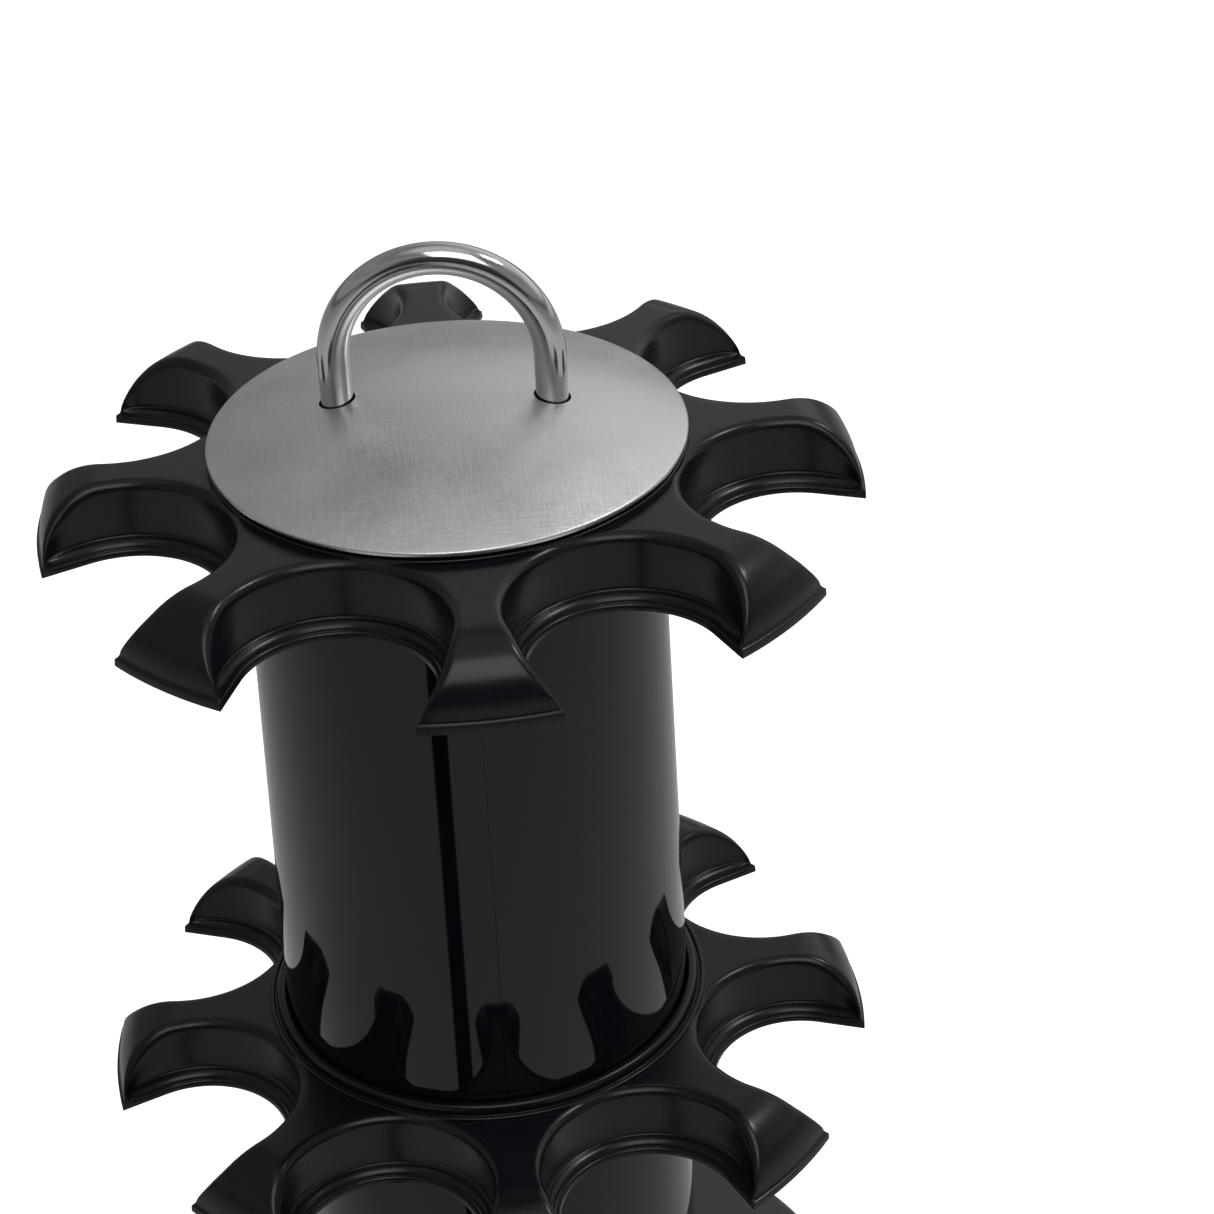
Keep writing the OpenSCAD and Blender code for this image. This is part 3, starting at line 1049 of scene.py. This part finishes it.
@dataclass
class Tube:
    """A tapered gloss tube with a fine seam down two sides.

    Attributes:
        node: CAD node that it stands for.
        foot_r: Outer radius at the foot.
        title: Name of the piece.
    """

    node: str
    foot_r: float
    title: str
    draft: float = math.radians(0.82)
    wall: float = 2.0
    end_round: float = 0.4
    seam_at: float = math.radians(-89.6)
    seam_w: float = 0.26
    seam_depth: float = 0.14
    columns: int = 180
    # places of the extra columns beside a seam, in seam widths
    BESIDE = (-1.2, -0.6, -0.3, 0.3, 0.6, 1.2)

    @property
    def length(self) -> float:
        """Length of the tube."""
        return top(self.node) - low(self.node)

    @property
    def top_r(self) -> float:
        """Outer radius at the top."""
        return self.foot_r - self.length * math.tan(self.draft)

    def _seam(self, turn: float) -> float:
        """Returns the seam's depth at an angle."""
        off = min(abs(math.remainder(turn - at, math.tau)) for at in (self.seam_at, self.seam_at + math.pi))
        return self.seam_depth if off * self.foot_r < self.seam_w / 2 else 0.0

    def build(self) -> Piece:
        """Builds the tube.

        Returns:
            The tube.
        """
        start, end = low(self.node), top(self.node)
        corners = [
            Corner(self.foot_r - self.wall, start), Corner(self.foot_r, start, self.end_round),
            Corner(self.top_r, end, self.end_round), Corner(self.top_r - self.wall, end),
        ]
        step = self.seam_w / self.foot_r
        turns = set(even_turns(self.columns))
        for at in (self.seam_at, self.seam_at + math.pi):
            clear = {t for t in turns if abs(math.remainder(t - at, math.tau)) < 2 * step}
            turns -= clear
            turns |= {(at + k * step) % math.tau for k in self.BESIDE}
        points = outline(corners, steps=4)
        made = revolve(self.title, points, groove=self._seam, angles=sorted(turns))
        return dress(made, TUBE_GLOSS, "carousel", [self.node])


# ---- cap and handle


@dataclass
class Handle:
    """The arched rod with its legs and studs."""

    node: str = "handle"
    stud_r: float = 2.5
    stud_len: float = 7.4
    arc_steps: int = 72
    leg_steps: int = 4

    def build(self) -> Piece:
        """Builds the handle.

        Returns:
            The handle.
        """
        leg = ARCH.spacing / 2
        spring = ARCH.spring
        start = low(self.node)
        shoulder = start + self.stud_len
        left = [(start, self.stud_r), (shoulder - 0.02, self.stud_r), (shoulder, ARCH.radius - 0.3),
                (shoulder + 0.3, ARCH.radius)]
        left += [(shoulder + 0.3 + (spring - shoulder - 0.3) * k / self.leg_steps, ARCH.radius)
                 for k in range(1, self.leg_steps)]
        path = [Vector((-leg, 0, z)) for z, _ in left]
        radii = [r for _, r in left]
        for k in range(self.arc_steps + 1):
            t = math.pi * (1 - k / self.arc_steps)
            path.append(Vector((leg * math.cos(t), 0, spring + leg * math.sin(t))))
            radii.append(ARCH.radius)
        path += [Vector((leg, 0, z)) for z, _ in reversed(left)]
        radii += [r for _, r in reversed(left)]
        made = sweep(self.node + "_arch", path, radii)
        made.data.transform(Matrix.Rotation(ARCH.turn, 4, "Z"))
        return dress(made, HANDLE_BRIGHT, "carousel", [self.node])


@dataclass
class Cap:
    """The brushed dome with its rolled edge and two leg holes."""

    node: str = "cap"
    sheet: float = 0.5
    roll: float = 0.55
    hem: float = 0.55
    rim_lift: float = 1.0
    hole_play: float = 0.5
    punch_len: float = 24
    dome_steps: int = 40
    roll_steps: int = 8
    columns: int = 288

    def _points(self) -> list[Point]:
        """Draws the dome's section.

        Returns:
            The outline, starting and ending on the axis.
        """
        rim = reach(self.node)
        apex = top(self.node)
        foot = low(self.node) + self.rim_lift
        roll_at = rim - self.roll
        roll_z = foot + self.hem
        slope = 2 * math.atan((apex - roll_z - self.roll) / roll_at)
        dome = self.roll + roll_at / math.sin(slope)
        centre = apex - dome

        def arc(radius: float, steps: Iterable[int]) -> list[Point]:
            """Returns points of a circle about the dome's centre, by steps from the axis."""
            turns = [slope * k / self.dome_steps for k in steps]
            return [(radius * math.sin(t), centre + radius * math.cos(t)) for t in turns]

        outer = arc(dome, range(self.dome_steps + 1))
        for k in range(1, self.roll_steps + 1):
            t = slope + (math.pi / 2 - slope) * k / self.roll_steps
            outer.append((roll_at + self.roll * math.sin(t), roll_z + self.roll * math.cos(t)))
        hem = [(rim, foot + 0.2), (rim - 0.06, foot + 0.06), (rim - 0.2, foot), (rim - 0.3, foot),
               (rim - 0.44, foot + 0.06), (rim - self.sheet, foot + 0.2)]
        return outer + hem + arc(dome - self.sheet, range(self.dome_steps - 1, -1, -1))

    def _shell(self) -> Piece:
        """Builds the dome without its holes."""
        mesh = bmesh.new()
        skin(mesh, [ring(r, z, even_turns(self.columns)) for r, z in self._points()])
        return to_object(mesh, "cap_dome")

    def build(self) -> Piece:
        """Builds the cap and punches its leg holes.

        Returns:
            The cap.
        """
        made = self._shell()
        punch = bmesh.new()
        for side in (-1, 1):
            at = Matrix.Rotation(ARCH.turn, 4, "Z") @ Vector((side * ARCH.spacing / 2, 0, 0))
            place = Matrix.Translation((at.x, at.y, top(self.node) - self.punch_len / 4))
            bmesh.ops.create_cone(
                punch, cap_ends=True, segments=96, depth=self.punch_len, matrix=place,
                radius1=ARCH.radius + self.hole_play, radius2=ARCH.radius + self.hole_play,
            )
        cutter = to_object(punch, "hole_punch")
        cut = made.modifiers.new("leg_holes", "BOOLEAN")
        cut.object, cut.operation, cut.solver = cutter, "DIFFERENCE", "EXACT"
        seen = made.evaluated_get(bpy.context.evaluated_depsgraph_get())
        cut_mesh = bpy.data.meshes.new_from_object(seen)
        made.modifiers.clear()
        made.data = cut_mesh
        made.data.name = made.name
        bpy.data.objects.remove(cutter)
        made.data.set_sharp_from_angle(angle=SMOOTH_ANGLE)
        return dress(made, CAP_BRUSHED, "carousel", [self.node])


# ---- base and carried-over pieces


@dataclass
class RubberFeet:
    """Six round feet with a softened rim and a shallow cup underneath."""

    node: str = "rubber_feet"
    count: int = 6
    radius: float = 6.0
    ring_r: float = 63.0
    rim: float = 0.8
    cup_r: float = 3.6
    cup_h: float = 0.5
    columns: int = 48

    def build(self) -> Piece:
        """Builds the feet as one piece.

        Returns:
            The feet.
        """
        height = top(self.node)
        points = outline([
            Corner(0.02, height), Corner(0.02, self.cup_h), Corner(self.cup_r, self.cup_h, 0.3),
            Corner(self.cup_r + 0.5, 0, 0.2), Corner(self.radius, 0, self.rim),
            Corner(self.radius, height, 0.2),
        ])
        mesh = bmesh.new()
        for i in range(self.count):
            turn = Matrix.Rotation(math.tau * i / self.count, 4, "Z")
            place = turn @ Matrix.Translation((self.ring_r, 0, 0))
            rings = [[place @ p for p in ring(r, z, even_turns(self.columns))] for r, z in points]
            skin(mesh, [*rings, rings[0]])
        return dress(to_object(mesh, "foot_pads"), RUBBER, "stand", [self.node])


@dataclass
class CarriedOver:
    """The CAD nodes that keep their own shape."""

    def dress_all(self) -> None:
        """Gives each shown CAD node the finish of its record slot."""
        slots = {row["node"]: row["material_slot"] for row in frame["record"]["subparts"]}
        for name, node in frame["nodes"].items():
            if node.hide_render:
                continue
            finish = FINISH_OF_SLOT[slots[name]]
            node.data.materials.clear()
            node.data.materials.append(finish.material())
            log.info("%s keeps its CAD shape, %s", name, finish.name)


# ---- studio


@dataclass
class Studio:
    """Floor, lights and camera.

    Attributes:
        unit: Length that the camera's place is stated in, in metres.
        rim_height: Height of the cap's rim, which the camera's height is counted from.
    """

    rim_height: float
    unit: float = 0.0521
    out: float = 11.92
    up: float = 6.496
    pitch: float = math.radians(31.82)
    yaw: float = math.radians(3.01)
    roll: float = math.radians(-2.66)
    orbit: float = math.radians(-2.69)
    lens: float = 97.18
    floor_glow: float = 0.85
    flag_bearing: float = -108.0
    flag_spread: float = 8.0
    bright_side: Axes = (0.72, 0.72, 0.2)
    dark_side: Axes = (-0.1, -1.0, 0.1)
    dark_share: float = 0.15
    dim_light: float = 0.8
    bright_light: float = 2.5

    def camera(self) -> None:
        """Places the camera."""
        scene = bpy.context.scene
        data = bpy.data.cameras.new("camera")
        data.sensor_width, data.lens = 36, self.lens
        data.clip_start, data.clip_end = 0.05, 50
        camera = bpy.data.objects.new("camera", data)
        scene.collection.objects.link(camera)
        ahead = Vector((
            math.sin(self.yaw) * math.cos(self.pitch),
            math.cos(self.yaw) * math.cos(self.pitch),
            -math.sin(self.pitch),
        ))
        right = Vector((math.cos(self.yaw), -math.sin(self.yaw), 0))
        above = right.cross(ahead)
        side = right * math.cos(self.roll) + above * math.sin(self.roll)
        head = above * math.cos(self.roll) - right * math.sin(self.roll)
        turn = Matrix((side, head, -ahead)).transposed().to_4x4()
        turn.translation = (0, -self.out * self.unit, self.up * self.unit + self.rim_height)
        camera.matrix_world = Matrix.Rotation(self.orbit, 4, "Z") @ turn
        scene.camera = camera

    def floor(self) -> None:
        """Lays a pale floor that curves up far behind the object."""
        mesh = bmesh.new()
        wide, far, bend, steps = 7.0, 6.0, 2.5, 16
        rows = [(-wide, 0.0), (far, 0.0)]
        turns = [math.pi * k / (2 * steps) for k in range(1, steps + 1)]
        rows += [(far + bend * math.sin(t), bend - bend * math.cos(t)) for t in turns]
        skin(mesh, [[Vector((x, y, z)) / MM for x in (-wide, wide)] for y, z in rows], closed=False)
        floor = to_object(mesh, "floor")
        settings = {"Roughness": 0.9, "Specular IOR Level": 0.1, "Emission Color": (1, 1, 1, 1)}
        material, maker, shader = start_material("pale_floor", settings)
        cloudy = maker.blend(maker.noise(2.0), (0.74, 0.74, 0.75), (0.77, 0.77, 0.78))
        maker.link(cloudy, shader.inputs["Base Color"])
        seen = maker.node("LightPath").outputs["Is Camera Ray"]
        maker.link(maker.work_out("MULTIPLY", seen, self.floor_glow), shader.inputs["Emission Strength"])
        floor.data.materials.append(material)

    def flag(self) -> None:
        """Lays a narrow black flag in front, which only shows as a dark stripe in glossy surfaces."""
        half, bearing = math.radians(self.flag_spread / 2), math.radians(self.flag_bearing)
        mesh = bmesh.new()
        rows = [ring(out, 2, (bearing - half, bearing + half)) for out in (130, 400, 900, 2400)]
        skin(mesh, rows, closed=False)
        flag = to_object(mesh, "black_flag")
        settings = {"Base Color": (0.003, 0.003, 0.003, 1), "Roughness": 1, "Specular IOR Level": 0}
        material, _, _ = start_material("black_velvet", settings)
        flag.data.materials.append(material)
        flag.visible_camera = flag.visible_diffuse = flag.visible_shadow = False

    # brightness of the room by the sine of the height above the horizon
    BANDS = (
        (0.0, 0.36), (0.05, 0.34), (0.1, 0.16), (0.16, 0.16), (0.21, 0.38), (0.4, 0.38), (0.5, 0.31),
        (0.68, 0.38), (0.74, 0.28), (0.85, 0.3), (0.91, 0.5), (0.96, 0.8), (1.0, 0.8),
    )

    def sky(self) -> None:
        """Lights the room: soft boxes overhead and round the walls with darker gaps between them."""
        world = bpy.data.worlds.new("studio")
        bpy.context.scene.world = world
        world.use_nodes = True
        tree = world.node_tree
        maker = NodeMaker(tree)
        place = maker.place.node.outputs["Generated"]
        parts = maker.node("SeparateXYZ")
        maker.link(place, parts.inputs[0])
        bands = maker.node("ValToRGB")
        bands.color_ramp.interpolation = "EASE"
        stops = bands.color_ramp.elements
        for i, (rise, light) in enumerate(self.BANDS):
            stop = stops[i] if i < 2 else stops.new(rise)
            stop.position = rise
            stop.color = (light, light, light * 1.02, 1)
        maker.link(parts.outputs["Z"], bands.inputs["Fac"])
        levels = (self.dim_light, self.bright_light)
        bright = maker.map_range(self._towards(maker, place, self.bright_side), (0.45, 1.05), levels, smooth=True)
        shade = maker.map_range(
            self._towards(maker, place, self.dark_side), (0.76, 0.9), (1, self.dark_share), smooth=True
        )
        room = tree.nodes["Background"]
        maker.link(bands.outputs["Color"], room.inputs["Color"])
        maker.link(maker.work_out("MULTIPLY", bright, shade), room.inputs["Strength"])

    def _towards(self, maker: NodeMaker, place: Socket, side: Axes) -> Socket:
        """Measures how far the room's places lie towards a side.

        Args:
            maker: Node maker of the room's tree.
            place: Directions in the room.
            side: The side.

        Returns:
            Values up to 1, at the side itself.
        """
        node = maker.node("VectorMath")
        node.operation = "DOT_PRODUCT"
        node.inputs[1].default_value = Vector(side).normalized()
        maker.link(place, node.inputs[0])
        return node.outputs["Value"]

    # the soft lamps: name, place, size and power
    LAMPS = (
        ("front_softbox", (0.1, -1.2, 1.9), 1.2, 11.5),
        ("right_lamp", (1.1, 0.13, 1.83), 0.4, 7.0),
    )

    def lamps(self) -> None:
        """Hangs the soft lamps."""
        for name, place, size, power in self.LAMPS:
            data = bpy.data.lights.new(name, "AREA")
            data.shape, data.size, data.energy = "SQUARE", size, power
            lamp = bpy.data.objects.new(name, data)
            lamp.location = place
            aim = Vector((0, 0, self.rim_height * 0.8)) - Vector(place)
            lamp.rotation_mode = "QUATERNION"
            lamp.rotation_quaternion = aim.to_track_quat("-Z", "Y")
            bpy.context.scene.collection.objects.link(lamp)

    def build(self) -> None:
        """Builds the whole studio."""
        bpy.context.scene.view_settings.view_transform = "Standard"
        self.camera()
        self.floor()
        self.flag()
        self.sky()
        self.lamps()


# ---- all of it


def main() -> None:
    """Builds every sub-assembly in order, from the column outward."""
    logging.basicConfig(level=logging.INFO, format="%(name)s: %(message)s")
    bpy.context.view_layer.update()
    lower_tube = Tube("lower_tube", 48.2, "lower_tube_gloss")
    upper_tube = Tube("upper_tube", 47.8, "upper_tube_gloss")
    lower_tube.build()
    upper_tube.build()
    StarTier("lower_tier", lower_tube.top_r, "lower_tier").build()
    StarTier("upper_tier", upper_tube.top_r, "upper_tier").build()
    Handle().build()
    Cap().build()
    RubberFeet().build()
    CarriedOver().dress_all()
    Studio(rim_height=low("cap") * MM + CAP_RIM_ABOVE_FOOT).build()
    bpy.context.view_layer.update()


if __name__ == "__main__":
    main()
